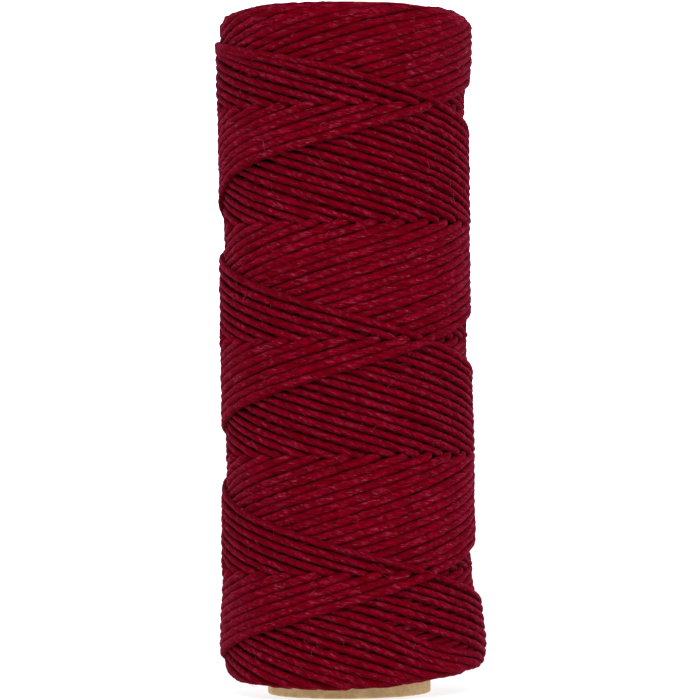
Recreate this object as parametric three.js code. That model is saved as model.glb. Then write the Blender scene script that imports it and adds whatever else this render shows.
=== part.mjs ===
// Roll of twisted cord: a stiff paper tube with the cord wound on it in crossing helices.
// Units are millimetres and +Z is up. The origin is the centre of the tube's bottom rim.
// Azimuth 0 faces -Y and grows towards +X.

import * as THREE from "three";

const TAU = 2 * Math.PI;
const DEGREE = Math.PI / 180;

// Paper tube
const TUBE_LENGTH = 105;
const TUBE_OUTER_RADIUS = 12.5;
const TUBE_WALL = 2;
const TUBE_RIM_CHAMFER = 0.25;
const TUBE_SIDES = 72;

// Outer form of the winding
const BORE_GAP = 0.3;
const WINDING_BOTTOM = 2.4;
const WINDING_TOP = 104.4;
const WAIST_RADIUS = 19.15;
const SHOULDER_RADIUS = 1.9;
const END_SWELL = 0.45;
const SWELL_POWER = 5;

// How the cord is laid: helices of one pitch that fall and rise, turning at each end
const PITCH = 35.07;
const TRAVERSE_TURNS = 3;
const TRAVERSE_CENTRE = 54.2;
const TRAVERSE_TOP = TRAVERSE_CENTRE + (PITCH * TRAVERSE_TURNS) / 2;
const NEWEST_TURN_AZIMUTH = 226 * DEGREE;
const LAYER_STEP = 0.8;
const EDGE_SHARE = 0.055;
const TURNING_ZONE = 8;

// The ends are uneven: each row lifts or lowers the rim about one azimuth
const RIM_REACH = 13;
const RIM_CORE_SHARE = 0.35;
const TOP_RIM = [
  { azimuth: -137, halfWidth: 120, lift: -3.4 },
  { azimuth: 75, halfWidth: 60, lift: -1 },
];
const BOTTOM_RIM = [
  { azimuth: 80, halfWidth: 85, lift: 1.5 },
  { azimuth: -137, halfWidth: 75, lift: 2.2 },
];

// Bulges of bunched turns: each row swells the side about one place
const BULGES = [
  { azimuth: 80, halfWidth: 62, z: 7, halfHeight: 9, swell: 1.2 },
  { azimuth: -120, halfWidth: 75, z: 10, halfHeight: 10, swell: 0.4 },
  { azimuth: 100, halfWidth: 90, z: 98, halfHeight: 9, swell: 0.4 },
];

// Mesh steps of the winding
const WINDING_SIDES = 72;
const SIDE_STEPS = 52;
const SHOULDER_STEPS = 4;
const END_STEPS = 3;

// Finishes
const KRAFT_PAPER = { color: 0xc0a078, roughness: 0.9, metalness: 0 };
const BURGUNDY_CORD = { color: 0x84102e, roughness: 0.75, metalness: 0 };

// A smooth hump: 1 at the middle, 0 at one half width away and beyond.
function hump(distance, halfWidth) {
  const share = Math.min(Math.abs(distance) / halfWidth, 1);
  return 0.5 + 0.5 * Math.cos(Math.PI * share);
}

// The signed angle from one azimuth to another, from -180 to 180 degrees.
function azimuthBetween(from, to) {
  return THREE.MathUtils.euclideanModulo(to - from + Math.PI, TAU) - Math.PI;
}

// How far one family of turns stands out: 1 on the newest turn, falling to 0 on the oldest.
function freshness(turnAzimuth) {
  const age = THREE.MathUtils.euclideanModulo(NEWEST_TURN_AZIMUTH - turnAzimuth, TAU) / TAU;
  return age < EDGE_SHARE ? (age / EDGE_SHARE) * (1 - EDGE_SHARE) : 1 - age;
}

// Height over the mean surface, from the falling and the rising turns that cross at a place.
function layerHeight(azimuth, z) {
  const travel = (TAU * (TRAVERSE_TOP - z)) / PITCH;
  const falling = freshness(azimuth - travel);
  const rising = freshness(azimuth + travel);
  const endDistance = Math.min(z - WINDING_BOTTOM, WINDING_TOP - z);
  const fade = THREE.MathUtils.smoothstep(endDistance, 0, TURNING_ZONE);
  return LAYER_STEP * (falling + rising - 1) * fade;
}

// Swell of the side: a little towards both ends, and at the bulges.
function sideSwell(azimuth, z) {
  const middle = (WINDING_TOP + WINDING_BOTTOM) / 2;
  const share = Math.abs(z - middle) / (WINDING_TOP - middle);
  let swell = END_SWELL * share ** SWELL_POWER;
  for (const bulge of BULGES) {
    const around = hump(azimuthBetween(bulge.azimuth * DEGREE, azimuth), bulge.halfWidth * DEGREE);
    swell += bulge.swell * around * hump(z - bulge.z, bulge.halfHeight);
  }
  return swell;
}

// Lift of one rim at an azimuth, from its table.
function rimLift(table, azimuth) {
  return table.reduce((lift, row) => {
    const distance = azimuthBetween(row.azimuth * DEGREE, azimuth);
    return lift + row.lift * hump(distance, row.halfWidth * DEGREE);
  }, 0);
}

// The closed section of a plain winding: out along the bottom, up the side, in and down the bore.
function windingSection() {
  const bore = TUBE_OUTER_RADIUS + BORE_GAP;
  const rim = WAIST_RADIUS - SHOULDER_RADIUS;
  const low = WINDING_BOTTOM + SHOULDER_RADIUS;
  const high = WINDING_TOP - SHOULDER_RADIUS;
  const line = (r0, z0, r1, z1) =>
    new THREE.LineCurve(new THREE.Vector2(r0, z0), new THREE.Vector2(r1, z1));
  const shoulder = (z, from) =>
    new THREE.EllipseCurve(rim, z, SHOULDER_RADIUS, SHOULDER_RADIUS, from, from + Math.PI / 2);
  const strokes = [
    { curve: line(bore, WINDING_BOTTOM, rim, WINDING_BOTTOM), steps: END_STEPS },
    { curve: shoulder(low, -Math.PI / 2), steps: SHOULDER_STEPS },
    { curve: line(WAIST_RADIUS, low, WAIST_RADIUS, high), steps: SIDE_STEPS },
    { curve: shoulder(high, 0), steps: SHOULDER_STEPS },
    { curve: line(rim, WINDING_TOP, bore, WINDING_TOP), steps: END_STEPS },
    { curve: line(bore, WINDING_TOP, bore, WINDING_BOTTOM), steps: 1 },
  ];
  const points = strokes.flatMap(({ curve, steps }) => curve.getPoints(steps).slice(0, -1));
  return [...points, points[0].clone()];
}

// Moves a point of the plain winding to its place on the wound one, and leaves the bore as it is.
function windPoint(point) {
  const bore = TUBE_OUTER_RADIUS + BORE_GAP;
  const azimuth = Math.atan2(point.x, -point.y);
  const radius = Math.hypot(point.x, point.y);
  const outward = (radius - bore) / (WAIST_RADIUS - bore);
  const swell = layerHeight(azimuth, point.z) + sideSwell(azimuth, point.z);
  const woundRadius = radius + outward * swell;
  const rimShare = THREE.MathUtils.smoothstep(outward, RIM_CORE_SHARE, 1);
  const nearTop = THREE.MathUtils.smoothstep(point.z, WINDING_TOP - RIM_REACH, WINDING_TOP);
  const nearBottom = 1 - THREE.MathUtils.smoothstep(point.z, WINDING_BOTTOM, WINDING_BOTTOM + RIM_REACH);
  const lift = rimLift(TOP_RIM, azimuth) * nearTop + rimLift(BOTTOM_RIM, azimuth) * nearBottom;
  point.set(woundRadius * Math.sin(azimuth), -woundRadius * Math.cos(azimuth), point.z + lift * rimShare);
}

// Sweeps a closed section of radii and heights round +Z.
function lathed(section, sides) {
  return new THREE.LatheGeometry(section, sides).rotateX(Math.PI / 2);
}

function makeCoreTube() {
  const outer = TUBE_OUTER_RADIUS;
  const inner = TUBE_OUTER_RADIUS - TUBE_WALL;
  const c = TUBE_RIM_CHAMFER;
  const corners = [
    [inner + c, 0],
    [outer - c, 0],
    [outer, c],
    [outer, TUBE_LENGTH - c],
    [outer - c, TUBE_LENGTH],
    [inner + c, TUBE_LENGTH],
    [inner, TUBE_LENGTH - c],
    [inner, c],
    [inner + c, 0],
  ];
  const section = corners.map(([radius, z]) => new THREE.Vector2(radius, z));
  const tube = new THREE.Mesh(lathed(section, TUBE_SIDES), new THREE.MeshStandardMaterial(KRAFT_PAPER));
  tube.name = "core_tube";
  return tube;
}

function makeCordWinding() {
  const geometry = lathed(windingSection(), WINDING_SIDES);
  const places = geometry.getAttribute("position");
  const point = new THREE.Vector3();
  for (let i = 0; i < places.count; i++) {
    windPoint(point.fromBufferAttribute(places, i));
    places.setXYZ(i, point.x, point.y, point.z);
  }
  geometry.computeVertexNormals();
  const winding = new THREE.Mesh(geometry, new THREE.MeshStandardMaterial(BURGUNDY_CORD));
  winding.name = "cord_winding";
  return winding;
}

const roll = new THREE.Group();
roll.add(makeCoreTube(), makeCordWinding());

export default roll;
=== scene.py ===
# %% [markdown]
# # A roll of twisted bamboo cord
#
# The real object is a short paper tube with about 65 m of soft burgundy cord wound on it.
# A winding machine lays the cord in long helices: it falls for three turns, turns back at the
# bottom, rises for three turns, turns back at the top, and each return lands a little further
# round than the last.  That is what draws the herringbone bands that you see.
#
# This lesson follows the machine.  We don't paint cords on a cylinder: we work out the one long
# path that the cord takes, with everything it passes over and under, and sweep a twisted section
# along it.  All the geometry is numpy: whole arrays in, one mesh out.

import bpy
import numpy as np
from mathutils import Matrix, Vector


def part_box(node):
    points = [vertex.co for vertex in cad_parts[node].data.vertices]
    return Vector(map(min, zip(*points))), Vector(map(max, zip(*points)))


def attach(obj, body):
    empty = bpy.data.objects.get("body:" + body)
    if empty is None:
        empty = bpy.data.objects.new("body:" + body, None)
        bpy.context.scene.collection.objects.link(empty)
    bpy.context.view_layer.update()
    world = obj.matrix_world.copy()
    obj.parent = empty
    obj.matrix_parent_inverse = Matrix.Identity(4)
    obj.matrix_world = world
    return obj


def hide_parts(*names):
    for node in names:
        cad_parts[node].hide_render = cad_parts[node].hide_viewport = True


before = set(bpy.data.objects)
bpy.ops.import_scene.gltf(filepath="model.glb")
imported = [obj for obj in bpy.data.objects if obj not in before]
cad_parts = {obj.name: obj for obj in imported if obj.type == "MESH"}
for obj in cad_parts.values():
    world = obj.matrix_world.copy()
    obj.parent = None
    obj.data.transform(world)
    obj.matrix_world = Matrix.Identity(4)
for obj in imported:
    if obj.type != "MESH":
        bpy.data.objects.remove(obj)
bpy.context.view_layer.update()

MM = 0.001
print("CAD nodes:", sorted(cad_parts))

# %% [markdown]
# ## The sizes that everything hangs on
#
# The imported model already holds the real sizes, so we read them instead of typing them again:
# the tube gives its radius and length, and the winding gives the height where the cord starts
# and ends.  All working sizes in this file are millimetres and degrees, and they become metres
# only when a mesh is made.

# %% Read the driving sizes from the frame
tube_low, tube_high = (np.array(corner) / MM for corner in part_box("core_tube"))
winding_low, winding_high = (np.array(corner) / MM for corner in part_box("cord_winding"))

TUBE_RADIUS = (tube_high[0] - tube_low[0]) / 2
TUBE_LENGTH = tube_high[2] - tube_low[2]
WINDING_BOTTOM = winding_low[2]
WINDING_TOP = winding_high[2]
print(f"tube {2 * TUBE_RADIUS:.1f} x {TUBE_LENGTH:.1f} mm")
print(f"winding from {WINDING_BOTTOM:.1f} to {WINDING_TOP:.1f} mm")

# %% [markdown]
# ## The camera first
#
# The picture was taken level with the middle of the roll, from a good half metre away, with a
# long lens, so the cylinder's top and bottom barely curve.  The roll leans a little over half a
# degree in the picture.  It has to stand upright here, so the camera is rolled instead.

# %% Place the camera
CAMERA_DISTANCE = 624.7
CAMERA_HEIGHT = 52.5
CAMERA_ASIDE = 0.657
CAMERA_ROLL = np.radians(0.6)
SENSOR = 36.0
LENS = 209.4
CLIP_NEAR = 50 * MM
CLIP_FAR = 20000 * MM

camera_data = bpy.data.cameras.new("camera")
camera_data.sensor_width = SENSOR
camera_data.lens = LENS
camera_data.clip_start = CLIP_NEAR
camera_data.clip_end = CLIP_FAR
camera = bpy.data.objects.new("camera", camera_data)
bpy.context.scene.collection.objects.link(camera)
camera.location = (CAMERA_ASIDE * MM, -CAMERA_DISTANCE * MM, CAMERA_HEIGHT * MM)
camera.rotation_euler = (np.pi / 2, CAMERA_ROLL, 0)
bpy.context.scene.camera = camera
print(f"camera {CAMERA_DISTANCE:.0f} mm in front, {CAMERA_HEIGHT:.1f} mm up, lens {LENS} mm")

# %% [markdown]
# ## How the cord is laid
#
# One *traverse* is a trip from one end to the other: three turns round the tube and a little
# more.  That little more is the whole trick.  Two traverses later the cord comes back to the
# same end one `TURN_STEP` further round, so it lies just beside its last pass.  After
# `CYCLES` such returns, 26, the surface is covered and the next layer begins.
#
# Traverse 0 is the newest, -1 the one before it, and so on back in time.  Even numbers fall and
# odd numbers rise.

# %% The law of the winding
PITCH = 35.07
CYCLES = 26
WHOLE_TURNS = 3
TURN_STEP = 360 / CYCLES
TRAVERSE = WHOLE_TURNS * 360 + TURN_STEP / 2
LAYER = 2 * CYCLES
NEWEST_TURN = 226.0
CENTRE_HEIGHT = 54.2
HALF_STROKE = PITCH * TRAVERSE / 360 / 2
TOP_VERTEX = CENTRE_HEIGHT + HALF_STROKE
BOTTOM_VERTEX = CENTRE_HEIGHT - HALF_STROKE
END_OF_CORD = 275.0


def turn_azimuth(traverse):
    """Azimuth at which a traverse begins: newest turn + number * degrees in a traverse."""
    return NEWEST_TURN + traverse * TRAVERSE


print(f"a traverse falls {2 * HALF_STROKE:.2f} mm in {TRAVERSE:.2f} degrees")

# %% [markdown]
# ## The outer form
#
# The roll isn't a true cylinder.  It swells a little at both ends, because the cord is slower
# where it turns and piles up, and the bottom right has a fat bunch of turns.  The rims are
# uneven too.  The solid model is shaped in the same way, so the cord lies where the solid is,
# and a few rows are added here for finer unevenness.

# %% Form of the side and the rims
WAIST_RADIUS = 19.15
LAYER_STEP = 0.8
END_SWELL = 0.45
SWELL_POWER = 5
TOP_RIM = (
    {"azimuth": -137, "half_width": 70, "lift": -4.2},
    {"azimuth": -68, "half_width": 32, "lift": -0.6},
    {"azimuth": 50, "half_width": 50, "lift": -0.5},
    {"azimuth": 88, "half_width": 35, "lift": -1.2},
)
BOTTOM_RIM = (
    {"azimuth": 80, "half_width": 85, "lift": 1.5},
    {"azimuth": -137, "half_width": 75, "lift": 2.2},
    {"azimuth": 0, "half_width": 75, "lift": -0.5},
)
BULGES = (
    {"azimuth": 80, "half_width": 62, "z": 8, "half_height": 13, "swell": 1.3},
    {"azimuth": 85, "half_width": 90, "z": 24, "half_height": 48, "swell": 0.35},
    {"azimuth": -120, "half_width": 75, "z": 9, "half_height": 9, "swell": 0.4},
    {"azimuth": 100, "half_width": 90, "z": 98, "half_height": 9, "swell": 0.4},
)


def hump(distance, half_width):
    """A smooth hump, (1 + cos(pi d / w)) / 2: 1 in the middle and 0 from one half width away."""
    return 0.5 + 0.5 * np.cos(np.pi * np.minimum(np.abs(distance) / half_width, 1))


def around(azimuth, middle):
    """Signed angle from the middle to an azimuth, from -180 to 180 degrees."""
    return (azimuth - middle + 180) % 360 - 180


def rim_lift(table, azimuth):
    """Sum of the humps in a rim's table at each azimuth."""
    return sum(row["lift"] * hump(around(azimuth, row["azimuth"]), row["half_width"]) for row in table)


def side_radius(azimuth, z):
    """Mean radius of the winding: waist + end swell * (share of the way to the end)^5 + the bulges."""
    middle = (WINDING_TOP + WINDING_BOTTOM) / 2
    share = np.abs(z - middle) / (WINDING_TOP - middle)
    radius = WAIST_RADIUS + END_SWELL * share**SWELL_POWER
    for row in BULGES:
        side = hump(around(azimuth, row["azimuth"]), row["half_width"])
        radius = radius + row["swell"] * side * hump(z - row["z"], row["half_height"])
    return radius


for z in (WINDING_BOTTOM, CENTRE_HEIGHT, WINDING_TOP):
    print(f"radius in front at {z:.1f} mm: {side_radius(0, z):.2f} mm")

# %% [markdown]
# ## Nothing is laid perfectly
#
# A machine's guide rattles and the cord is soft, so neighbouring turns sometimes touch and
# sometimes leave a dark slit.  We need a smooth random wander along the whole cord.  The cheapest
# good one is *value noise*: random heights at even knots, joined by a smooth curve.  The random
# numbers come from a fixed seed, so every run gives the same roll.

# %% Smooth random wander
OLDEST_TRAVERSE = -5 * LAYER - 4
SPARE_KNOTS = 200
SPARE_TURNS = 8


def smooth(t):
    """A smooth step, 3t^2 - 2t^3 between 0 and 1, 0 before and 1 after."""
    t = np.clip(t, 0, 1)
    return t * t * (3 - 2 * t)


def wander(rotation, knot, seed):
    """Value noise of the rotation since the oldest turn.
    Knots every `knot` degrees hold random numbers from -1 to 1, and smooth steps join them."""
    count = int(-OLDEST_TRAVERSE * TRAVERSE / knot) + SPARE_KNOTS
    heights = np.random.default_rng(seed).uniform(-1, 1, count)
    place = (rotation - OLDEST_TRAVERSE * TRAVERSE) / knot
    index = np.floor(place).astype(int)
    t = smooth(place - index)
    return heights[index] * (1 - t) + heights[index + 1] * t


def turn_jitter(traverse, seed):
    """One random number from -1 to 1 for each turn."""
    numbers = np.random.default_rng(seed).uniform(-1, 1, -OLDEST_TRAVERSE + SPARE_TURNS)
    return numbers[traverse - OLDEST_TRAVERSE]


wander_sample = wander(np.arange(0.0, TRAVERSE), knot=130, seed=3)
print(f"wander over one traverse: {wander_sample.min():.2f} to {wander_sample.max():.2f}")

# %% [markdown]
# ## Tight on the way down, slack on the way up
#
# Look closely at the real roll: the cords that fall to the right are narrow and round, with wide
# dark grooves between them, and the cords that rise to the right are broad and flat, and nearly
# touch, as if the guide pulled harder on the way down.  A short table for each direction says so,
# and the cord eases from one to the other round each turn.

# %% The cord on its way down and on its way up
FALLING = {"width": 1.03, "thickness": 1.2, "jitter": 0.15}
RISING = {"width": 1.34, "thickness": 1.08, "jitter": 0.08}
EASING = 60.0


def by_direction(traverse, rotation, column):
    """The falling cord's value on even traverses and the rising cord's on odd ones.
    At a turn it is the mean of the two, left and reached by a smooth step of `EASING` degrees."""
    own = np.where(traverse % 2 == 0, FALLING[column], RISING[column])
    mean = (FALLING[column] + RISING[column]) / 2
    from_turn = np.minimum(rotation, TRAVERSE - rotation)
    return mean + (own - mean) * smooth(from_turn / EASING)


for place, turned in (("at a turn", 0.0), ("past it", EASING)):
    widths = [float(by_direction(number, turned, "width")) for number in (0, 1)]
    print(f"width {place}: falling {widths[0]:.2f} mm, rising {widths[1]:.2f} mm")

# %% [markdown]
# ## Rounding the turns
#
# At an end the cord can't turn back on a point.  It flattens out, runs level for a moment and
# comes back.  A parabola does that neatly: within `W` degrees of the turn, the travel x becomes
# (x^2 + W^2) / 2W, which meets the straight line without a kink.  The rim says how wide `W`
# must be: the higher the rim at that azimuth, the sharper the turn.  No two turns reach quite
# the same height, least of all on the rough side of the roll, where the rim is bunched.

# %% Rims and rounding
RIM_INSET = 0.25
RIM_REACH = 0.25
INNER_RIM_TOP = -0.25
INNER_RIM_BOTTOM = 0.3
RIM_JITTER = 0.18
ROUGH_SIDE = {"azimuth": 85, "half_width": 65, "jitter": 0.4}


def rim_heights(traverse, azimuth):
    """Heights of the bottom and top rim: end of the winding + the lift in the rim's table.
    The layers beneath the outer one have plain rims, a little further in."""
    outer = traverse > -LAYER
    low = np.where(outer, rim_lift(BOTTOM_RIM, azimuth) - RIM_REACH, INNER_RIM_BOTTOM)
    high = np.where(outer, rim_lift(TOP_RIM, azimuth) + RIM_REACH, INNER_RIM_TOP)
    return WINDING_BOTTOM + low, WINDING_TOP + high


def turn_width(traverse):
    """Degrees of rounding at the turn that begins a traverse.
    W = 720 (height of the vertex - height of the rim) / pitch."""
    azimuth = turn_azimuth(traverse)
    falls = traverse % 2 == 0
    bottom, top = rim_heights(traverse, azimuth)
    inset = np.where(falls, TOP_VERTEX - top, bottom - BOTTOM_VERTEX) + RIM_INSET
    near = hump(around(azimuth, ROUGH_SIDE["azimuth"]), ROUGH_SIDE["half_width"])
    jitter = RIM_JITTER + ROUGH_SIDE["jitter"] * near
    return (inset + jitter * turn_jitter(traverse, seed=11)) * 720 / PITCH


def rounding(x, width):
    """What the parabola adds to the straight travel: (W - x)^2 / 2W, and nothing from W on."""
    return np.where(x < width, (width - x) ** 2 / (2 * width), 0)


newest_turns = turn_width(np.arange(-LAYER + 1, 1))
print(f"turns are rounded over {newest_turns.min():.0f} to {newest_turns.max():.0f} degrees")

# %% [markdown]
# ## Turns that slipped
#
# In three places of the real roll some turns have slid along it and crowd together: two on the
# left, at the edge of the newest rising band, and one in the bunch at the lower right.  Each row
# of the table names a family of turns by its newest one and says how far it slid and where.  Its
# place and its reach are each an azimuth and a height.

# %% Slipped turns
SLIPS = (
    {"newest": -1, "count": 6, "shift": 0.7, "place": (-55, 80), "reach": (55, 22)},
    {"newest": -1, "count": 8, "shift": -1.8, "place": (-98, 73), "reach": (42, 14)},
    {"newest": -16, "count": 9, "shift": -1.2, "place": (42, 8), "reach": (36, 10)},
)


def slip(traverse, azimuth, z):
    """Shift along the roll: sum over the rows of shift * share of the turn * nearness to the place.
    The newest turn of a row has the whole share, and each older one of its family a little less."""
    total = 0
    for row in SLIPS:
        age = (row["newest"] - traverse) / 2
        share = np.where((age >= 0) & (age % 1 == 0), np.maximum(1 - age / row["count"], 0), 0)
        beside = around(azimuth, row["place"][0])
        above = z - row["place"][1]
        near = hump(beside, row["reach"][0]) * hump(above, row["reach"][1])
        total = total + row["shift"] * share * near
    return total


for row in SLIPS:
    print(f"turn {row['newest']} slips {slip(row['newest'], *row['place']):.2f} mm")

# %% [markdown]
# ## The height of the cord
#
# Now the pieces come together.  The straight travel, rounded at both ends, gives the height.
# Then come the slips and a wander in two sizes: a slow one, as the guide drifts, and a quick
# one at half its strength, as the soft cord gives way.

# %% Height of the cord along a traverse
WANDERS = ({"knot": 130, "seed": 3, "share": 1.0}, {"knot": 34, "seed": 4, "share": 0.5})


def cord_height(traverse, rotation):
    """Height of the cord's middle: the vertex it left, - or + pitch * rounded travel / 360,
    + slip + jitter * (slow wander + quick wander)."""
    travel = rotation + rounding(rotation, turn_width(traverse))
    travel = travel - rounding(TRAVERSE - rotation, turn_width(traverse + 1))
    falls = traverse % 2 == 0
    z = np.where(falls, TOP_VERTEX - PITCH * travel / 360, BOTTOM_VERTEX + PITCH * travel / 360)
    z = z + slip(traverse, turn_azimuth(traverse) + rotation, z)
    whole = traverse * TRAVERSE + rotation
    slow, quick = (row["share"] * wander(whole, row["knot"], row["seed"]) for row in WANDERS)
    return z + by_direction(traverse, rotation, "jitter") * (slow + quick)


LAST_WHOLE_FALL = -2
print(f"halfway down, the cord is at {cord_height(LAST_WHOLE_FALL, TRAVERSE / 2):.1f} mm")

# %% [markdown]
# ## Over and under
#
# Which cord is on top where two cross?  The one laid later.  Along a traverse the cords that it
# meets get newer and newer, four traverse numbers for each `TURN_STEP` of rotation, until the
# count runs past the newest one and drops back a whole layer.  So one number, the *crossing
# traverse*, says it all: while it is older than ours we ride over it, and once it is newer we
# dive under.  The dives of neighbouring cords line up into the herringbone's rows.  Just there
# the cord gives: the last cord that we cross lifts us a little, and the first one that crosses
# us presses us down.  That is what deepens the dark notches between the chevrons.

# %% Depth of the cord under the surface
CORD_THICKNESS = 1.2
DIVE = 2
PRESSED = {"depth": 0.3, "after": 0.8, "reach": 1.8}
LIFTED = {"height": 0.12, "before": 1.2, "reach": 1.6}


def crossing_traverse(traverse, rotation):
    """Number of the traverse that crosses at this place.
    It is our own - 1 + 4 * rotation / turn step, brought into the newest layer."""
    met = traverse - 1 + 4 * rotation / TURN_STEP
    falls = traverse % 2 == 0
    reached = TRAVERSE - rotation < END_OF_CORD
    newest = np.where(falls, -1, np.where(reached, 0, -2))
    base = LAYER * np.floor(traverse / LAYER)
    newest = np.where(traverse > -LAYER, newest, newest + base)
    return newest + 2 - (newest + 2 - met) % LAYER


def cover(traverse, rotation):
    """Depth of the surface here under the highest one, and 1 where a cord crosses over us, or else 0.
    Depth = layer step * (our age + the crossing cord's age) / 52, + the squeeze next to a dive."""
    met = crossing_traverse(traverse, rotation)
    arriving = TRAVERSE - rotation < TURN_STEP / 2
    under = np.where(arriving, 0, smooth((met - (traverse - 1)) / DIVE))
    sunk = LAYER_STEP * (-traverse - met) / LAYER
    lead = met - traverse
    squeeze = PRESSED["depth"] * hump(lead - PRESSED["after"], PRESSED["reach"])
    squeeze = squeeze - LIFTED["height"] * hump(lead + LIFTED["before"], LIFTED["reach"])
    return sunk + np.where(arriving, 0, squeeze), under


for number in (LAST_WHOLE_FALL, -LAYER + 2):
    depth, _ = cover(number, TRAVERSE / 2)
    print(f"halfway down traverse {number} the surface is {depth:.2f} mm under the highest one")

# %% [markdown]
# ## From travel to a place in space
#
# The side is simple: radius and azimuth.  At the ends the cord slips over a rounded shoulder, so
# there the height becomes an arc length round a quarter circle.  The function returns the cord's
# middle and the direction that faces out of the roll, which the section needs.  The loose end of
# the cord has to go somewhere: over its last degrees it sinks between the turns at the back.

# %% Middle line of the cord
SHOULDER = 1.9
WOBBLE = {"height": 0.05, "knot": 40, "seed": 5}
TUCK = {"depth": 1.3, "reach": 12.0}


def cord_line(traverse, rotation):
    """Places and outward directions of the cord's middle.
    On the side: radius = surface - thickness / 2 - layer step * under.  Past the shoulder's start
    the extra height h becomes an angle h / bend radius, round the quarter circle."""
    azimuth = turn_azimuth(traverse) + rotation
    level = cord_height(traverse, rotation)
    sunk, under = cover(traverse, rotation)
    surface = side_radius(azimuth, level) + LAYER_STEP - sunk
    whole = traverse * TRAVERSE + rotation
    surface = surface + WOBBLE["height"] * wander(whole, WOBBLE["knot"], WOBBLE["seed"])
    to_end = END_OF_CORD - whole
    tucked = TUCK["depth"] * (1 - smooth(to_end / TUCK["reach"]))
    depth = CORD_THICKNESS / 2 + LAYER_STEP * under + tucked

    bottom, top = rim_heights(traverse, azimuth)
    bottom, top = bottom + SHOULDER, top - SHOULDER
    bend = SHOULDER - CORD_THICKNESS / 2
    past = np.maximum(level - top, 0) - np.maximum(bottom - level, 0)
    angle = np.clip(past / bend, -np.pi / 2, np.pi / 2)
    straight = np.clip(level, bottom, top)
    radius = surface - SHOULDER + (SHOULDER - depth) * np.cos(angle)
    height = straight + (SHOULDER - depth) * np.sin(angle)
    radius = np.maximum(radius, TUBE_RADIUS + CORD_THICKNESS / 2)

    a = np.radians(azimuth)
    sine, cosine = np.sin(a), -np.cos(a)
    places = np.stack([radius * sine, radius * cosine, height], -1)
    outward = np.stack([np.cos(angle) * sine, np.cos(angle) * cosine, np.sin(angle)], -1)
    return places, outward


halfway_place, _ = cord_line(LAST_WHOLE_FALL, TRAVERSE / 2)
print("halfway down, the cord's middle is at", halfway_place.round(1), "mm")

# %% [markdown]
# ## Sweeping the section
#
# The cord is three plies twisted together, pressed a little flat where it lies.  Its section is
# an ellipse with three soft lobes that turn as they go along: 10 mm to a whole turn, and the lay
# is negative because the twist leans the way of the stroke in an S.  A circle swept evenly would
# look like plastic, so the yarn also swells and thins: *slubs* all the way round it, and smaller
# lumps on one side.  For every ring of the tube we need three directions: along the cord, out
# of the roll, and across.  The rest is one array sum.

# %% Section of the cord
PLY_LAY = -10.0
PLY_DEPTH = 0.035
PLIES = 3
LONGEST_CORD = 21000.0
LUMPS = {"knot": 1.0, "depth": 0.08, "seed": 6}
SLUBS = ({"knot": 1.3, "depth": 0.13, "seed": 7}, {"knot": 7.0, "depth": 0.03, "seed": 8})


def skin_noise(length, knot, sides, seed):
    """Value noise on the skin: random heights, one for each side at every knot of length,
    joined along the cord by smooth steps."""
    heights = np.random.default_rng(seed).uniform(-1, 1, (int(LONGEST_CORD / knot) + 2, sides))
    place = length / knot
    index = np.floor(place).astype(int)
    t = smooth(place - index)[..., None]
    return heights[index] * (1 - t) + heights[index + 1] * t


def fullness(length, sides):
    """How full the yarn is: 1 + slubs, all the way round, + lumps, each shared by two sides."""
    lumps = skin_noise(length, LUMPS["knot"], sides, LUMPS["seed"])
    slubs = sum(row["depth"] * skin_noise(length, row["knot"], 1, row["seed"]) for row in SLUBS)
    return 1 + slubs + LUMPS["depth"] * (lumps + np.roll(lumps, 1, -1)) / 2


def section_rings(places, outward, length, sides, width, thickness):
    """Vertices of the rings: middle + w/2 cos(v) across + h/2 sin(v) out, both times
    fullness + ply depth * cos(3 (v - 2 pi length / lay))."""
    along = np.gradient(places, axis=-2)
    along /= np.linalg.norm(along, axis=-1, keepdims=True)
    out = outward - (outward * along).sum(-1, keepdims=True) * along
    out /= np.linalg.norm(out, axis=-1, keepdims=True)
    across = np.cross(along, out)
    v = np.arange(sides) * 2 * np.pi / sides
    twist = 2 * np.pi * length[..., None] / PLY_LAY
    ply = fullness(length, sides) + PLY_DEPTH * np.cos(PLIES * (v - twist))
    wide = (np.asarray(width)[..., None] / 2 * np.cos(v) * ply)[..., None]
    high = (np.asarray(thickness)[..., None] / 2 * np.sin(v) * ply)[..., None]
    return places[..., None, :] + wide * across[..., None, :] + high * out[..., None, :]


sample = fullness(np.arange(0.0, 500.0), 12)
print(f"the yarn is {sample.min():.2f} to {sample.max():.2f} of its mean thickness")

# %% [markdown]
# ## From arrays to a mesh
#
# Blender can take a whole mesh as flat arrays: all the vertices, then the corners of the faces
# in a row, then how many corners each face has.  `foreach_set` copies each array in one go.
# The skin is a grid of rows and sides, and every face of it goes round the same four corners:
# this row, this row, the next, the next, and this side, the next, the next, this side.
#
# Each cord piece carries two UV maps.  `cord` holds the length along the cord in millimetres and
# the share of the way round it, for the material.  `OFBake` lays the same skin out in rows that
# don't overlap, so that a texture can be baked on it sharply.

# %% A mesh from arrays
QUAD_ROW = np.array([0, 0, 1, 1])
QUAD_SIDE = np.array([0, 1, 1, 0])


def cord_length(places):
    """Length along each run, from 0 at its first place."""
    steps = np.linalg.norm(np.diff(places, axis=-2), axis=-1)
    return np.concatenate([np.zeros(steps.shape[:-1] + (1,)), np.cumsum(steps, -1)], -1)


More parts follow.
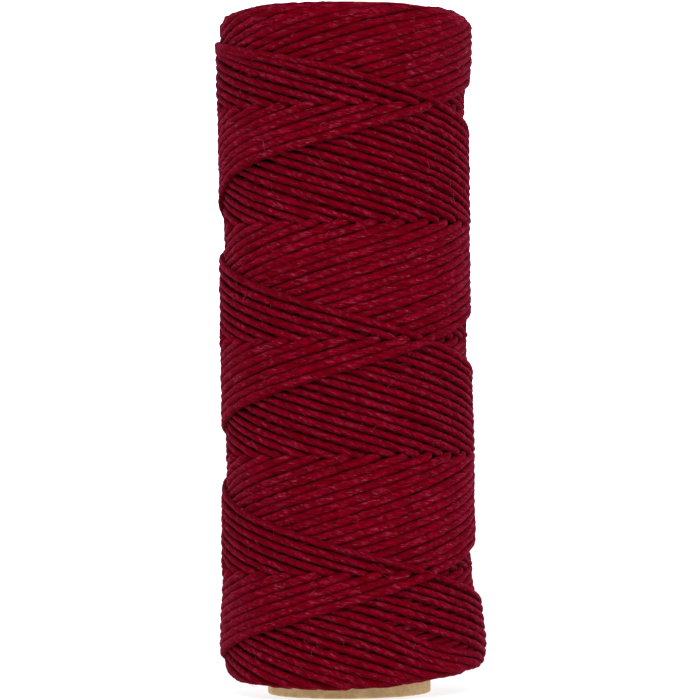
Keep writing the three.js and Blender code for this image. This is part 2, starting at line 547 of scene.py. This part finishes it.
def make_mesh(name, vertices, corners, sizes, uv_maps):
    """A mesh object from vertices in mm, the corners of all faces in a row and the number in each."""
    mesh = bpy.data.meshes.new(name)
    mesh.vertices.add(len(vertices))
    mesh.vertices.foreach_set("co", (vertices * MM).astype(np.float32).ravel())
    mesh.loops.add(len(corners))
    mesh.loops.foreach_set("vertex_index", corners.astype(np.int32))
    mesh.polygons.add(len(sizes))
    starts = np.concatenate([[0], np.cumsum(sizes)[:-1]])
    mesh.polygons.foreach_set("loop_start", starts.astype(np.int32))
    mesh.polygons.foreach_set("loop_total", sizes.astype(np.int32))
    mesh.update(calc_edges=True)
    mesh.polygons.foreach_set("use_smooth", np.ones(len(sizes), bool))
    for uv_name, uv in uv_maps.items():
        layer = mesh.uv_layers.new(name=uv_name)
        layer.data.foreach_set("uv", uv.astype(np.float32).ravel())
    mesh.validate()
    made = bpy.data.objects.new(name, mesh)
    bpy.context.scene.collection.objects.link(made)
    return made


# %% A mesh tube from middle lines
BAKE_MARGIN = 0.04


def cord_piece(name, places, outward, start, sides, row_rings, width, thickness):
    """A closed tube for each run of places (runs, rings, 3), with both ends capped.
    `start` is each run's length on the whole cord, and a row of the bake map holds `row_rings` rings.
    Width and thickness are numbers, or one for each place."""
    runs, rings = places.shape[:2]
    length = cord_length(places) + np.asarray(start)[:, None]
    vertices = section_rings(places, outward, length, sides, width, thickness).reshape(-1, 3)

    grid = np.meshgrid(np.arange(runs), np.arange(rings - 1), np.arange(sides), indexing="ij")
    run, ring, side = (axis[..., None] for axis in grid)
    quads = (run * rings + ring + QUAD_ROW) * sides + (side + QUAD_SIDE) % sides
    quads = quads.reshape(-1, 4)
    head = np.arange(runs)[:, None] * rings * sides + np.arange(sides)[::-1]
    tail = ((np.arange(runs)[:, None] + 1) * rings - 1) * sides + np.arange(sides)
    caps = np.concatenate([head, tail])
    corners = np.concatenate([quads.ravel(), caps.ravel()])
    sizes = np.concatenate([np.full(len(quads), 4), np.full(len(caps), sides)])

    share = (side + QUAD_SIDE) / sides
    travelled = length[run, ring + QUAD_ROW]
    cap_uv = np.zeros((caps.size, 2))
    cord_uv = np.concatenate([np.stack([travelled, share], -1).reshape(-1, 2), cap_uv])

    rows_per_run = int(np.ceil((rings - 1) / row_rings))
    row = run * rows_per_run + ring // row_rings
    u = (ring % row_rings + QUAD_ROW) / row_rings
    v = (row + BAKE_MARGIN + (1 - 2 * BAKE_MARGIN) * share) / (runs * rows_per_run)
    bake_uv = np.concatenate([np.stack([u, v], -1).reshape(-1, 2), cap_uv])

    made = make_mesh(name, vertices, corners, sizes, {"cord": cord_uv, "OFBake": bake_uv})
    made.data.uv_layers["cord"].active_render = True
    triangles = 2 * len(quads) + len(caps) * (sides - 2)
    metres = float((length[:, -1] - length[:, 0]).sum()) * MM
    print(f"{name}: {triangles} triangles, {metres:.2f} m long in all")
    return made


# %% [markdown]
# ## The outer layer, as one continuous cord
#
# The newest 52 traverses cover the roll.  The cord starts where the last layer dived out of sight,
# and it ends at the back, tucked behind the turns.  Six pieces share it, each beginning in
# exactly the place where the one before it stopped, because one mesh of it all would be too
# heavy to export.

# %% The one long path
STEP = 1.86
START_ROTATION = 240.0

steps_per_traverse = int(round(TRAVERSE / STEP))
first = -LAYER * TRAVERSE + START_ROTATION
total_steps = int((END_OF_CORD - first) / (TRAVERSE / steps_per_traverse))
whole = np.linspace(first, END_OF_CORD, total_steps + 1)
whole_traverse = np.floor(whole / TRAVERSE).astype(int)
whole_rotation = whole - whole_traverse * TRAVERSE
whole_places, whole_outward = cord_line(whole_traverse, whole_rotation)
whole_width = by_direction(whole_traverse, whole_rotation, "width")
whole_thickness = by_direction(whole_traverse, whole_rotation, "thickness")
whole_length = cord_length(whole_places)
print(f"outer layer: {whole_length[-1] * MM:.1f} m of cord in {total_steps} steps")

# %% Lay the outer layer
SIDES = 12
OUTER_PIECES = 6
BAKE_ROWS = 30

cord_pieces = []
cuts = np.linspace(0, total_steps, OUTER_PIECES + 1).astype(int)
for number, (low, high) in enumerate(zip(cuts[:-1], cuts[1:])):
    part = slice(low, high + 1)
    piece = cord_piece(
        f"outer_cord_{number + 1}",
        whole_places[None, part],
        whole_outward[None, part],
        [whole_length[low]],
        SIDES,
        (high - low) // BAKE_ROWS + 1,
        whole_width[None, part],
        whole_thickness[None, part],
    )
    cord_pieces.append(piece)

# %% [markdown]
# ## The turns of the layers beneath
#
# At both ends you look into the roll and see where the inner layers turned back.  Only those
# turns show, so only they are made: short arcs, 26 to a layer at each end, on coarser tubes.
# Each arc takes its own stretch of the cord's length, so that no two have the same lumps.

# %% Lay the inner turns
INNER_STEP = 2.9
INNER_SIDES = 8
ARC_STRETCH = 750.0
INNER_LAYERS = (
    {"layer": 1, "reach": 78},
    {"layer": 2, "reach": 58},
    {"layer": 3, "reach": 58},
    {"layer": 4, "reach": 58},
)


def inner_turns(layer, reach, falls):
    """Places of all the turns of one layer at one end.
    Each arc runs from `reach` degrees before its turn to as far after it."""
    newest = -layer * LAYER - (0 if falls else 1)
    turns = (newest - 2 * np.arange(CYCLES))[:, None]
    angle = np.linspace(-reach, reach, int(2 * reach / INNER_STEP) + 1)[None, :]
    traverse = np.where(angle < 0, turns - 1, turns)
    rotation = np.where(angle < 0, TRAVERSE + angle, angle + 0 * turns)
    return cord_line(traverse, rotation)


for row in INNER_LAYERS:
    for falls, end in ((True, "top"), (False, "bottom")):
        places, outward = inner_turns(row["layer"], row["reach"], falls)
        piece = cord_piece(
            f"inner_turns_{end}_{row['layer']}",
            places,
            outward,
            np.arange(CYCLES) * ARC_STRETCH,
            INNER_SIDES,
            places.shape[1],
            CORD_THICKNESS,
            CORD_THICKNESS,
        )
        cord_pieces.append(piece)

# %% [markdown]
# ## The dark heart
#
# Between the outer cords a slit sometimes opens.  What shows in it is more cord, in deep shade.
# One plain surface under the outer layer is enough to close every slit.  The function that makes
# it carries a closed profile once round the axis, and we use it again for the paper tube.

# %% A closed profile carried round


def lathe_piece(name, radius, height, sides, uv_name="cord"):
    """A closed profile carried once round: rows of radius and height, with a column for each side.
    Place = (radius sin(azimuth), -radius cos(azimuth), height)."""
    azimuth = np.arange(sides) * 2 * np.pi / sides
    radius, height = np.broadcast_arrays(radius, height)
    places = np.stack([radius * np.sin(azimuth), -radius * np.cos(azimuth), height], -1)
    count = len(radius)
    grid = np.meshgrid(np.arange(count), np.arange(sides), indexing="ij")
    row, side = (axis[..., None] for axis in grid)
    quads = ((row + QUAD_ROW) % count * sides + (side + QUAD_SIDE) % sides).reshape(-1, 4)
    uv = np.stack([(side + QUAD_SIDE) / sides, (row + QUAD_ROW) / count], -1).reshape(-1, 2)
    made = make_mesh(name, places.reshape(-1, 3), quads.ravel(), np.full(len(quads), 4), {uv_name: uv})
    print(f"{name}: {2 * len(quads)} triangles")
    return made


# %% Core of the winding
CORE_DEPTH = 2.9
CORE_END = 3.2
CORE_GAP = 0.1
CORE_SIDES = 96
CORE_ROWS = 40

core_azimuth = np.arange(CORE_SIDES) * 360 / CORE_SIDES
core_height = np.linspace(WINDING_BOTTOM + CORE_END, WINDING_TOP - CORE_END, CORE_ROWS)[:, None]
core_outer = side_radius(core_azimuth, core_height) + LAYER_STEP - CORE_DEPTH
core_inner = np.full((2, CORE_SIDES), TUBE_RADIUS + CORE_GAP)
winding_core = lathe_piece(
    "winding_core",
    np.concatenate([core_outer, core_inner]),
    np.concatenate([core_height, core_height[[-1, 0]]]),
    CORE_SIDES,
)
cord_pieces.append(winding_core)

# %% [markdown]
# ## Loose fibres
#
# Spun bamboo is a little hairy.  Over a thousand short fibres stand off the cord and blur its
# edges, and a few long ones curl right away from it.  A fibre starts just under the skin of the
# cord, sets off nearly along it, lifts and bends.  All of them are made at once, one row of the
# array each, and they grow only where the cord isn't under another.

# %% Paths of the fibres
MOST_COVER = 0.05
ROOT = 0.97
LEAN = 0.9
HEADING = {"mean": 0.25, "spread": 0.6}
LIFT = (0.15, 0.8)
CURL = (0.03, 0.2)
WAVES = (0.4, 1.5)
DEEPEST = -0.05


def fibre_paths(count, shortest, longest, rings, seed):
    """Places along each fibre: root + length * (t heading + rise out + swing aside), where rise is
    a t - b t^2 and swing is c sin(2 pi w t).  The lean and the heading's turn are in radians."""
    random = np.random.default_rng(seed)
    shown = np.flatnonzero(cover(whole_traverse, whole_rotation)[1] < MOST_COVER)[:-2]
    index = random.choice(shown, count, replace=False)
    along = whole_places[index + 1] - whole_places[index]
    along /= np.linalg.norm(along, axis=1, keepdims=True)
    across = np.cross(along, whole_outward[index])
    lean = random.uniform(-LEAN, LEAN, (count, 1))
    heading_turn = random.normal(HEADING["mean"], HEADING["spread"], (count, 1))
    out = np.cos(lean) * whole_outward[index] + np.sin(lean) * across
    root = whole_places[index] + ROOT * CORD_THICKNESS / 2 * out
    heading = np.cos(heading_turn) * along + np.sin(heading_turn) * across
    aside = np.cross(out, heading)
    length = random.uniform(shortest, longest, (count, 1, 1))
    lift, fall = random.uniform(*LIFT, (2, count, 1, 1))
    curl = random.uniform(*CURL, (count, 1, 1))
    waves = random.uniform(*WAVES, (count, 1, 1))
    t = np.linspace(0, 1, rings)[None, :, None]
    rise = np.maximum(lift * t - fall * t**2, DEEPEST)
    swing = curl * np.sin(2 * np.pi * waves * t)
    bend = t * heading[:, None] + rise * out[:, None] + swing * aside[:, None]
    return root[:, None] + length * bend, np.broadcast_to(out[:, None], bend.shape)


# %% Grow the fibres
FIBRES = {
    "short_fibres": {"count": 1300, "length": (0.5, 1.6), "width": 0.035, "rings": 6, "seed": 21},
    "long_fibres": {"count": 14, "length": (1.5, 3.5), "width": 0.045, "rings": 14, "seed": 22},
}
FIBRE_SIDES = 3

fibre_pieces = []
for name, row in FIBRES.items():
    rings, width = row["rings"], row["width"]
    paths, outward = fibre_paths(row["count"], *row["length"], rings, row["seed"])
    start = np.zeros(row["count"])
    piece = cord_piece(name, paths, outward, start, FIBRE_SIDES, rings, width, width)
    fibre_pieces.append(piece)

# %% [markdown]
# ## The paper tube
#
# The tube is spirally wound from light brown kraft paper.  Its profile is a wall with two soft
# rims, carried once round.  A shallow helical step, where each turn of the strip of paper ends,
# is part of the surface: it steps up sharply at the strip's edge and sinks back over the rest.

# %% Profile of the tube's wall
TUBE_WALL = 2.0
RIM_ROUND = 0.3
RIM_STEPS = 5
WALL_ROWS = 60


def rim_profile():
    """Profile of the wall, once round: up the outside, over the top rim, down the inside, under the
    bottom rim.  Each corner is a quarter circle."""
    turn = np.linspace(0, np.pi / 2, RIM_STEPS)
    walls = np.linspace(RIM_ROUND, TUBE_LENGTH - RIM_ROUND, WALL_ROWS)[1:-1]
    outer, inner = TUBE_RADIUS, TUBE_RADIUS - TUBE_WALL
    top, low = TUBE_LENGTH - RIM_ROUND, RIM_ROUND
    radius = np.concatenate([
        outer - RIM_ROUND + RIM_ROUND * np.sin(turn),
        np.full(len(walls), outer),
        outer - RIM_ROUND + RIM_ROUND * np.cos(turn),
        inner + RIM_ROUND - RIM_ROUND * np.sin(turn),
        np.full(len(walls), inner),
        inner + RIM_ROUND - RIM_ROUND * np.cos(turn),
    ])
    height = np.concatenate([
        low - RIM_ROUND * np.cos(turn),
        walls,
        top + RIM_ROUND * np.sin(turn),
        top + RIM_ROUND * np.cos(turn),
        walls[::-1],
        low - RIM_ROUND * np.sin(turn),
    ])
    return radius[:, None], height[:, None]


tube_radius, tube_height = rim_profile()
print(len(tube_radius), "points once round the wall")

# %% Make the tube
TUBE_SIDES = 120
STRIP_PITCH = 48.0
STRIP_STEP = 0.07
STRIP_EDGE = 0.02

share_round = np.arange(TUBE_SIDES) / TUBE_SIDES
strip = (tube_height / STRIP_PITCH + share_round) % 1
step = STRIP_STEP * (smooth(strip / STRIP_EDGE) - strip)
outside = tube_radius > TUBE_RADIUS - TUBE_WALL / 2
paper_tube = lathe_piece(
    "paper_tube",
    tube_radius + np.where(outside, step - STRIP_STEP, -step),
    tube_height + 0 * share_round,
    TUBE_SIDES,
    "paper",
)

# %% [markdown]
# ## The cord's finish and painted light
#
# Bamboo yarn is silky: long fine fibres follow the twist.  Over its colour the skin also gets painted
# light: paler patches of painted highlight, small painted glints, and painted shade between the yarns.
# An image could show all that, but it would have to be as long as the cord.  Noise worked out on the
# cord's own skin never ends and never repeats.
#
# We first write a few helpers, one for each kind of node, so that the recipe itself stays short.

# %% Nodes for numbers


def add_node(tree, kind, **values):
    """Adds a node and sets its plain properties."""
    node = tree.nodes.new(kind)
    for name, value in values.items():
        setattr(node, name, value)
    return node


def math_node(tree, operation, first, second=None):
    """A Math node of one operation, such as first + second. Each is a socket or a number."""
    node = add_node(tree, "ShaderNodeMath", operation=operation)
    for socket, value in zip(node.inputs, (first, second)):
        if value is None:
            continue
        if isinstance(value, (int, float)):
            socket.default_value = value
        else:
            tree.links.new(value, socket)
    return node.outputs[0]


def mapped(tree, value, low, high, out_low=0.0, out_high=1.0):
    """A Map Range node: low to high becomes out_low to out_high by a smooth step, flat beyond."""
    node = add_node(tree, "ShaderNodeMapRange", interpolation_type="SMOOTHSTEP")
    tree.links.new(value, node.inputs["Value"])
    node.inputs["From Min"].default_value = low
    node.inputs["From Max"].default_value = high
    node.inputs["To Min"].default_value = out_low
    node.inputs["To Max"].default_value = out_high
    return node.outputs["Result"]


# %% Nodes for patterns and colours


def noise(tree, vector, scale, detail=2.0, roughness=0.5):
    """A Noise Texture on a vector. Returns its value, about 0.5 on average."""
    node = add_node(tree, "ShaderNodeTexNoise")
    tree.links.new(vector, node.inputs["Vector"])
    node.inputs["Scale"].default_value = scale
    node.inputs["Detail"].default_value = detail
    node.inputs["Roughness"].default_value = roughness
    return node.outputs["Fac"]


def mixed(tree, share, first, second):
    """A colour Mix node. Each colour is a socket or four numbers.
    For colours the node has its factor in socket 0, its inputs in 6 and 7 and its result in 2."""
    node = add_node(tree, "ShaderNodeMix", data_type="RGBA")
    tree.links.new(share, node.inputs[0])
    for socket, value in ((node.inputs[6], first), (node.inputs[7], second)):
        if isinstance(value, tuple):
            socket.default_value = value
        else:
            tree.links.new(value, socket)
    return node.outputs[2]


# %% Materials and relief


def new_material(name, roughness, specular, sheen=0.0):
    """A material whose Principled shader has its plain values set, with its tree and shader."""
    material = bpy.data.materials.new(name)
    material.use_nodes = True
    tree = material.node_tree
    shader = tree.nodes["Principled BSDF"]
    shader.inputs["Roughness"].default_value = roughness
    shader.inputs["Specular IOR Level"].default_value = specular
    shader.inputs["Sheen Weight"].default_value = sheen
    return material, tree, shader


def bump_node(tree, shader, height, strength, millimetres):
    """A Bump node from a height socket to the shader's normal: height 1 stands so many mm high."""
    bump = add_node(tree, "ShaderNodeBump")
    bump.inputs["Strength"].default_value = strength
    bump.inputs["Distance"].default_value = millimetres * MM
    tree.links.new(height, bump.inputs["Height"])
    tree.links.new(bump.outputs["Normal"], shader.inputs["Normal"])


# %% [markdown]
# ## Unwinding the twist
#
# The pattern has to turn with the twist.  So the node group first unwinds it: it subtracts the
# twist from the way round, and bends the result into a ring with sine and cosine so that no seam
# shows.  Each pattern is a noise on that ring.  A small stretch along the cord draws it out into
# streaks, and a large one leaves it as blotches.

# %% Patterns on the cord
CORD_RADIUS = 0.6
YARNS = 6
STRAY = 7.0
PATTERNS = {
    "fibre": {"stretch": 0.15, "scale": 7.0, "detail": 3.0, "roughness": 0.65},
    "mottle": {"stretch": 0.5, "scale": 1.7, "detail": 2.0, "roughness": 0.5},
    "patches": {"stretch": 0.45, "scale": 2.1, "detail": 2.0, "roughness": 0.5},
    "clusters": {"stretch": 0.12, "scale": 1.1, "detail": 1.0, "roughness": 0.5},
    "dashes": {"stretch": 0.22, "scale": 6.0, "detail": 1.0, "roughness": 0.5},
    "fray": {"stretch": 0.6, "scale": 1.6, "detail": 3.0, "roughness": 0.6},
    "batch": {"stretch": 0.02, "scale": 1.3, "detail": 2.0, "roughness": 0.5},
}
# The next three ranges pick the painted highlights: where they cluster, their pale patches and their
# glint dashes.
CLUSTER_RANGE = (0.35, 0.6)
HIGHLIGHT_PATCH_RANGE = (0.5, 0.68)
GLINT_RANGE = (0.61, 0.73)
YARN_RANGE = (-1.0, 0.4)
print("patterns:", ", ".join(PATTERNS))

# %% Twisted fibre group


def make_fibre_group():
    """Outputs: Fibre, fine streaks along the twist; Mottle, soft blotches; Bloom, patches of painted
    highlight; Glint, sparse short dashes of painted highlight; Yarn, 1 on a yarn's crown and 0 between
    two, for the relief and for painted shade between the yarns; Crown, 1 on the cord's outer side, 0
    at its flanks and -1 inside; Fray, how far the edge of the painted flank shade wanders; Batch, a
    slow change along the cord."""
    group = bpy.data.node_groups.new("twisted_fibre", "ShaderNodeTree")
    uv = add_node(group, "ShaderNodeUVMap", uv_map="cord")
    parts = add_node(group, "ShaderNodeSeparateXYZ")
    group.links.new(uv.outputs["UV"], parts.inputs[0])
    along, share = parts.outputs["X"], parts.outputs["Y"]

    twist = math_node(group, "SUBTRACT", share, math_node(group, "DIVIDE", along, PLY_LAY))
    angle = math_node(group, "MULTIPLY", twist, 2 * np.pi)
    cosine = math_node(group, "MULTIPLY", math_node(group, "COSINE", angle), CORD_RADIUS)
    sine = math_node(group, "MULTIPLY", math_node(group, "SINE", angle), CORD_RADIUS)

    def pattern(name):
        """Noise on the ring (radius cos(angle), radius sin(angle), length * stretch)."""
        row = PATTERNS[name]
        ring = add_node(group, "ShaderNodeCombineXYZ")
        stretched = math_node(group, "MULTIPLY", along, row["stretch"])
        for socket, value in zip(ring.inputs, (cosine, sine, stretched)):
            group.links.new(value, socket)
        return noise(group, ring.outputs[0], row["scale"], row["detail"], row["roughness"])

    patches = pattern("patches")
    clusters = mapped(group, pattern("clusters"), *CLUSTER_RANGE)
    # Painted highlights: pale patches and glint dashes, gathered into clusters.
    highlight_patches = mapped(group, patches, *HIGHLIGHT_PATCH_RANGE)
    glint = mapped(group, pattern("dashes"), *GLINT_RANGE)
    stray = math_node(group, "MULTIPLY", patches, STRAY)
    lobes = math_node(group, "ADD", math_node(group, "MULTIPLY", angle, YARNS), stray)
    results = {
        "Fibre": pattern("fibre"),
        "Mottle": pattern("mottle"),
        "Bloom": math_node(group, "MULTIPLY", highlight_patches, clusters),
        "Glint": math_node(group, "MULTIPLY", glint, clusters),
        "Yarn": mapped(group, math_node(group, "COSINE", lobes), *YARN_RANGE),
        "Crown": math_node(group, "SINE", math_node(group, "MULTIPLY", share, 2 * np.pi)),
        "Fray": pattern("fray"),
        "Batch": pattern("batch"),
    }
    for name in results:
        group.interface.new_socket(name, in_out="OUTPUT", socket_type="NodeSocketFloat")
    out = add_node(group, "NodeGroupOutput")
    for name, value in results.items():
        group.links.new(value, out.inputs[name])
    print(f"twisted_fibre: {len(group.nodes)} nodes, {len(results)} outputs")
    return group


fibre_group = make_fibre_group()

# %% [markdown]
# ## Burgundy, from the crown to the flank
#
# The dye is never quite even, so the base colour drifts along the cord between two reds.  Each row of
# the table of darkenings then deepens it where one pattern is low: the fibres and the mottle at
# random, and the yarns as painted shade between them.  Each row of the table of painted highlights
# lays a pink over it.  Last comes painted shade between neighbouring cords: the colour deepens from
# the crown of the cord towards its flanks, with a frayed edge.  The gloss is faint, and the little
# sheen is crimson.

# %% Colours of the cord
# Deep burgundy, for random darkening and for painted shade.
DEEP_BURGUNDY_AND_SHADE = (0.060, 0.00008, 0.0006, 1)
BURGUNDY = (0.142, 0.0003, 0.0062, 1)
BRIGHT_BURGUNDY = (0.234, 0.0004, 0.0128, 1)
# Pinks of the painted highlights: pale patches and glints.
HIGHLIGHT_PATCH_PINK = (0.270, 0.0140, 0.0480, 1)
GLINT_PINK = (0.42, 0.075, 0.140, 1)
BATCH_RANGE = (0.3, 0.7)
# Darkenings: Fibre and Mottle are random tone; the Yarn row is painted shade between the yarns.
DARKENINGS = (
    {"output": "Fibre", "low": 0.36, "high": 0.62, "least": 0.52},
    {"output": "Mottle", "low": 0.3, "high": 0.6, "least": 0.5},
    {"output": "Yarn", "low": 0.0, "high": 0.7, "least": 0.72},
)
# Painted highlights: each row lays a pink over the colour.
PAINTED_HIGHLIGHTS = (
    {"output": "Bloom", "share": 0.45, "colour": HIGHLIGHT_PATCH_PINK},
    {"output": "Glint", "share": 0.44, "colour": GLINT_PINK},
)
# Painted shade between neighbouring cords, deepening from the crown to the flanks.
FLANK_SHADE = {"fray": 1.8, "low": 0.85, "high": 2.3}
CORD_SURFACE = {"roughness": 0.8, "specular": 0.006, "sheen": 0.2}
SHEEN_ROUGHNESS = 0.35
SHEEN_TINT = (1.0, 0.06, 0.22, 1)
CORD_RELIEF = {"strength": 0.75, "height": 0.07, "yarn_share": 0.6}
print(f"{len(DARKENINGS)} patterns darken the cord and {len(PAINTED_HIGHLIGHTS)} make it paler")

# %% Cord material


def make_cord_material():
    """Burgundy that varies from batch to batch, darkened at random and with painted shade between the
    yarns, laid over with painted highlights, with painted shade at the flanks.
    """
    material, tree, shader = new_material("burgundy_cord", **CORD_SURFACE)
    shader.inputs["Sheen Roughness"].default_value = SHEEN_ROUGHNESS
    shader.inputs["Sheen Tint"].default_value = SHEEN_TINT
    outputs = add_node(tree, "ShaderNodeGroup", node_tree=fibre_group).outputs

    colour = mixed(tree, mapped(tree, outputs["Batch"], *BATCH_RANGE), BURGUNDY, BRIGHT_BURGUNDY)
    # Random darkening by fibres and mottle, and painted shade between the yarns.
    for row in DARKENINGS:
        keep = mapped(tree, outputs[row["output"]], row["low"], row["high"], row["least"], 1.0)
        colour = mixed(tree, keep, DEEP_BURGUNDY_AND_SHADE, colour)
    # Painted highlights: pink patches and glints laid over the colour.
    for row in PAINTED_HIGHLIGHTS:
        share = math_node(tree, "MULTIPLY", outputs[row["output"]], row["share"])
        colour = mixed(tree, share, colour, row["colour"])
    # Painted shade: the colour deepens from the crown towards the flanks, with a frayed edge.
    fray = math_node(tree, "MULTIPLY", outputs["Fray"], FLANK_SHADE["fray"])
    crown = mapped(tree, math_node(tree, "ADD", outputs["Crown"], fray), FLANK_SHADE["low"], FLANK_SHADE["high"])
    tree.links.new(mixed(tree, crown, DEEP_BURGUNDY_AND_SHADE, colour), shader.inputs["Base Color"])

    yarn_height = math_node(tree, "MULTIPLY", outputs["Yarn"], CORD_RELIEF["yarn_share"])
    height = math_node(tree, "ADD", outputs["Fibre"], yarn_height)
    bump_node(tree, shader, height, CORD_RELIEF["strength"], CORD_RELIEF["height"])
    return material


cord_material = make_cord_material()
for piece in cord_pieces:
    piece.data.materials.append(cord_material)
print(f"{cord_material.name} is on {len(cord_pieces)} pieces")

# %% [markdown]
# ## The loose fibres' finish
#
# A single fibre is thin enough for light to pass into it, so it looks paler than the cord that
# it comes from.  Some stay nearly as red as the yarn and some turn pink, and a plain noise in
# space decides which: each fibre is so short that it keeps about one colour.

# %% Fibre material
FIBRE_PINK = (0.34, 0.045, 0.085, 1)
FIBRE_SCALE = 400
PINK_RANGE = (0.45, 0.65)

fibre_material, fibre_tree, fibre_shader = new_material(
    "loose_fibre", roughness=0.6, specular=0.2
)
strand_place = add_node(fibre_tree, "ShaderNodeTexCoord").outputs["Object"]
paleness = mapped(fibre_tree, noise(fibre_tree, strand_place, FIBRE_SCALE), *PINK_RANGE)
fibre_colour = mixed(fibre_tree, paleness, BRIGHT_BURGUNDY, FIBRE_PINK)
fibre_tree.links.new(fibre_colour, fibre_shader.inputs["Base Color"])
for piece in fibre_pieces:
    piece.data.materials.append(fibre_material)
print(f"{fibre_material.name} is on {len(fibre_pieces)} pieces")

# %% [markdown]
# ## The paper's finish
#
# Kraft paper is never one brown.  Blotches of pulp come and go in it, and coarse fibres lie in it
# at all angles.  Only a narrow foot and the rims of the tube show, so three browns are enough:
# one noise in space mixes the blotches, a finer one draws the dark fibres, and a third raises the
# surface a little.  Object coordinates are metres, so the scales are waves a metre.

# %% Paper material
KRAFT = (0.57, 0.378, 0.178, 1)
KRAFT_DARK = (0.32, 0.20, 0.10, 1)
KRAFT_PALE = (0.72, 0.515, 0.272, 1)
BLOTCHES = {"scale": 600, "detail": 4.0, "roughness": 0.6}
PULP = {"scale": 2600, "detail": 3.0, "roughness": 0.7}
GRAIN = {"scale": 2200, "detail": 3.0, "roughness": 0.7}
BLOTCH_RANGE = (0.35, 0.7)
PULP_RANGE = (0.56, 0.72)
PULP_SHARE = 0.6
PAPER_RELIEF = {"strength": 0.6, "height": 0.05}


def make_paper_material():
    """Kraft brown to pale by blotches, then darkened by fibres, with the grain as relief."""
    material, tree, shader = new_material("kraft_paper", roughness=0.9, specular=0.25)
    place = add_node(tree, "ShaderNodeTexCoord").outputs["Object"]
    blotches = mapped(tree, noise(tree, place, **BLOTCHES), *BLOTCH_RANGE)
    fibres = mapped(tree, noise(tree, place, **PULP), *PULP_RANGE)
    colour = mixed(tree, blotches, KRAFT, KRAFT_PALE)
    colour = mixed(tree, math_node(tree, "MULTIPLY", fibres, PULP_SHARE), colour, KRAFT_DARK)
    tree.links.new(colour, shader.inputs["Base Color"])
    grain = noise(tree, place, **GRAIN)
    bump_node(tree, shader, grain, PAPER_RELIEF["strength"], PAPER_RELIEF["height"])
    return material


paper_tube.data.materials.append(make_paper_material())
print("kraft_paper is on", paper_tube.name)

# %% [markdown]
# ## Tie every piece to the model
#
# Every piece rides on the model's one body.  The cord pieces and the loose fibres stand for the
# plain winding solid, and the fine tube stands for the plain tube.

# %% Ride and replace
for piece in cord_pieces + fibre_pieces:
    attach(piece, "root")
    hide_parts("cord_winding")
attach(paper_tube, "root")
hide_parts("core_tube")
print(len(cord_pieces + fibre_pieces) + 1, "pieces ride on root")

# %% [markdown]
# ## Floor and light
#
# The roll stands in a white studio with hardly a shadow.  White wraps round it from behind and
# from both sides, and that makes its flanks pale and a little blue.  So the floor is a plain
# sheet that also glows by itself, and the surround is a cool bright white at the height of the
# roll, behind and beside it.  In front and overhead it is dim, or it would fill the shade between
# the cords.  One very wide lamp, almost straight in front and halfway up, lights the upper side
# of every cord and leaves its underside dark.

# %% Floor
FLOOR_HALF = 3000.0
FLOOR_GREY = 0.4
FLOOR_GLOW = 0.8
CORNERS = ((-1, -1), (1, -1), (1, 1), (-1, 1))

floor_mesh = bpy.data.meshes.new("floor")
floor_places = [(x * FLOOR_HALF * MM, y * FLOOR_HALF * MM, 0) for x, y in CORNERS]
floor_mesh.from_pydata(floor_places, [], [(0, 1, 2, 3)])
floor = bpy.data.objects.new("floor", floor_mesh)
bpy.context.scene.collection.objects.link(floor)
floor_material, _, floor_shader = new_material("white_floor", roughness=0.9, specular=0.1)
floor_shader.inputs["Base Color"].default_value = (FLOOR_GREY, FLOOR_GREY, FLOOR_GREY, 1)
floor_shader.inputs["Emission Color"].default_value = (1, 1, 1, 1)
floor_shader.inputs["Emission Strength"].default_value = FLOOR_GLOW
floor_mesh.materials.append(floor_material)
print(f"floor {2 * FLOOR_HALF * MM:.0f} m square")

# %% Key lamp
KEY = {"azimuth": 6, "elevation": 42, "spread": 36, "strength": 3.25}

key_data = bpy.data.lights.new("key", "SUN")
key_data.energy = KEY["strength"]
key_data.angle = np.radians(KEY["spread"])
key = bpy.data.objects.new("key", key_data)
bpy.context.scene.collection.objects.link(key)
key.rotation_euler = (np.radians(90 - KEY["elevation"]), 0, np.radians(KEY["azimuth"]))
print(f"key lamp {KEY['spread']} degrees wide, {KEY['elevation']} degrees up")

# %% White surround
COOL_WHITE = (0.86, 0.9, 1, 1)
BACKDROP = 2.8
OVERHEAD = 0.25
FRONT_SHARE = 0.1
HORIZON_TO_OVERHEAD = (0.3, 0.7)
FRONT_TO_BEHIND = (-0.35, 0.15)

world = bpy.data.worlds.new("white_surround")
bpy.context.scene.world = world
world.use_nodes = True
sky = world.node_tree
sky_parts = add_node(sky, "ShaderNodeSeparateXYZ")
sky.links.new(add_node(sky, "ShaderNodeTexCoord").outputs["Generated"], sky_parts.inputs[0])
height = math_node(sky, "ABSOLUTE", sky_parts.outputs["Z"])
brightness = mapped(sky, height, *HORIZON_TO_OVERHEAD, BACKDROP, OVERHEAD)
behind = mapped(sky, sky_parts.outputs["Y"], *FRONT_TO_BEHIND, FRONT_SHARE, 1.0)
background = sky.nodes["Background"]
sky.links.new(math_node(sky, "MULTIPLY", brightness, behind), background.inputs["Strength"])
background.inputs["Color"].default_value = COOL_WHITE
bpy.context.scene.view_settings.view_transform = "Standard"
print(f"surround {BACKDROP} behind, {BACKDROP * FRONT_SHARE:.2f} in front, {OVERHEAD} overhead")
